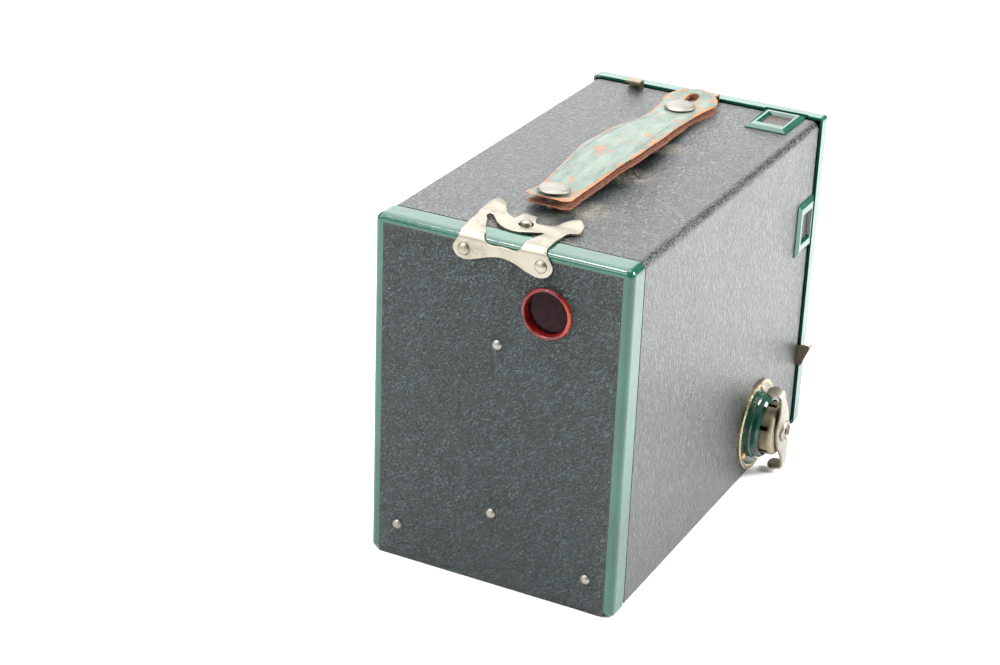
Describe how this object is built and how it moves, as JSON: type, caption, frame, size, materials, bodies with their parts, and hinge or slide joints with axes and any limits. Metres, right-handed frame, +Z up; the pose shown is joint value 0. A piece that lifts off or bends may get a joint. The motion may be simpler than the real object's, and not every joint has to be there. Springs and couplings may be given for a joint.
{
  "type": "box camera",
  "caption": "Roll-film box camera with a leatherette body, green lacquered edges, a hinged back with a red window, a winding key, reflecting finders and a leather carrying strap.",
  "frame": {"origin": "centre of the mouth of the tripod socket in the base, on the base plane", "axes": "+Z up; the lens looks along -Y and the hinged back is at +Y; the winding key is on the -X side"},
  "size_m": [0.0851, 0.1424, 0.1075],
  "materials": {
    "leatherette": "grained",
    "green_lacquer": "gloss",
    "aluminium": "satin",
    "black_metal": "matt",
    "nickel": "worn",
    "copper": "worn",
    "red_lacquer": "satin",
    "red_pane": "clear",
    "strap_leather": "worn",
    "spring_steel": "satin",
    "spool_wood": "plain",
    "glass": "clear",
    "mirror": "silvered"
  },
  "bodies": {
    "camera_body": {"base_covering": "leatherette", "body_covering": "leatherette", "body_shell": "aluminium", "carrier_front_plate": "black_metal", "carrier_side_far": "black_metal", "carrier_side_key": "black_metal", "film_gate": "black_metal", "finder_bezels": "nickel", "finder_glasses": "glass", "finder_lenses": "glass", "finder_mirrors": "mirror", "front_covering": "leatherette", "front_plate": "green_lacquer", "front_plate_screws": "nickel", "hinge_body_leaf": "spring_steel", "hinge_pin": "spring_steel", "key_bush": "aluminium", "key_plate": "green_lacquer", "key_plate_rivets": "copper", "latch_stud": "nickel", "lens": "glass", "lens_bezel": "nickel", "lens_cell": "black_metal", "light_cone": "black_metal", "pivot_springs": "spring_steel", "shutter_board": "aluminium", "shutter_pivot": "spring_steel", "shutter_spring": "spring_steel", "side_finder_box": "black_metal", "side_finder_frame": "green_lacquer", "slide_guides": "aluminium", "spool_pivots": "spring_steel", "strap": "strap_leather", "strap_studs": "nickel", "top_finder_box": "black_metal", "top_finder_frame": "green_lacquer", "tripod_socket_bottom": "nickel", "tripod_socket_side": "nickel"},
    "door": {"door_pan": "green_lacquer", "door_covering": "leatherette", "window_ring": "red_lacquer", "red_window": "red_pane", "window_backing": "nickel", "pressure_spring": "spring_steel", "back_rivets": "nickel", "hinge_door_leaf": "spring_steel", "latch_base": "nickel", "latch_rivets": "nickel"},
    "latch": {"latch_arm": "nickel"},
    "key_slide": {"key_drum": "nickel"},
    "key": {"key_wing": "nickel", "key_shaft": "nickel"},
    "take_up_spool": {"take_up_spool_core": "spool_wood", "take_up_spool_flanges": "spring_steel"},
    "roller_lower": {"film_roller_lower": "spring_steel"},
    "roller_upper": {"film_roller_upper": "spring_steel"},
    "lever": {"shutter_lever": "nickel"},
    "disc": {"shutter_disc": "black_metal"},
    "stops": {"stop_slide": "nickel"},
    "time": {"time_slide": "nickel"}
  },
  "joints": [
    {"name": "back_open", "type": "hinge", "parent": "camera_body", "child": "door", "pos_m": [0, 0.06485, 0.0016], "axis": [-1, 0, 0], "range_deg": [0, 95]},
    {"name": "latch_lift", "type": "hinge", "parent": "door", "child": "latch", "pos_m": [-0.0008, 0.0652, 0.1029], "axis": [-1, 0, 0], "range_deg": [0, 12], "stiffness_Nm_per_rad": 0.25},
    {"name": "key_pull", "type": "slide", "parent": "camera_body", "child": "key_slide", "axis": [-1, 0, 0], "range_m": [0, 0.006]},
    {"name": "key_turn", "type": "hinge", "parent": "key_slide", "child": "key", "pos_m": [-0.0409, -0.0335, 0.0152], "axis": [-1, 0, 0], "continuous": true},
    {"name": "spool_turn", "type": "hinge", "parent": "camera_body", "child": "take_up_spool", "pos_m": [0, -0.0335, 0.0152], "axis": [-1, 0, 0], "continuous": true},
    {"name": "roller_lower_turn", "type": "hinge", "parent": "camera_body", "child": "roller_lower", "pos_m": [0, 0.058, 0.0056], "axis": [1, 0, 0], "continuous": true},
    {"name": "roller_upper_turn", "type": "hinge", "parent": "camera_body", "child": "roller_upper", "pos_m": [0, 0.058, 0.0962], "axis": [1, 0, 0], "continuous": true},
    {"name": "lever_swing", "type": "hinge", "parent": "camera_body", "child": "lever", "pos_m": [0, -0.0664, 0.031], "axis": [0, 1, 0], "range_deg": [0, 17.3], "deforming": ["shutter_spring"]},
    {"name": "disc_swing", "type": "hinge", "parent": "camera_body", "child": "disc", "pos_m": [0, -0.06775, 0.031], "axis": [0, 1, 0], "range_deg": [0, 75.1]},
    {"name": "stop_pull", "type": "slide", "parent": "camera_body", "child": "stops", "axis": [0, 0, 1], "range_m": [0, 0.014]},
    {"name": "time_pull", "type": "slide", "parent": "camera_body", "child": "time", "axis": [0, 0, 1], "range_m": [0, 0.005]}
  ],
  "couplings": [
    {"joint": "spool_turn", "follows": "key_turn", "ratio": 1},
    {"joint": "disc_swing", "follows": "lever_swing", "ratio": 4.335}
  ]
}
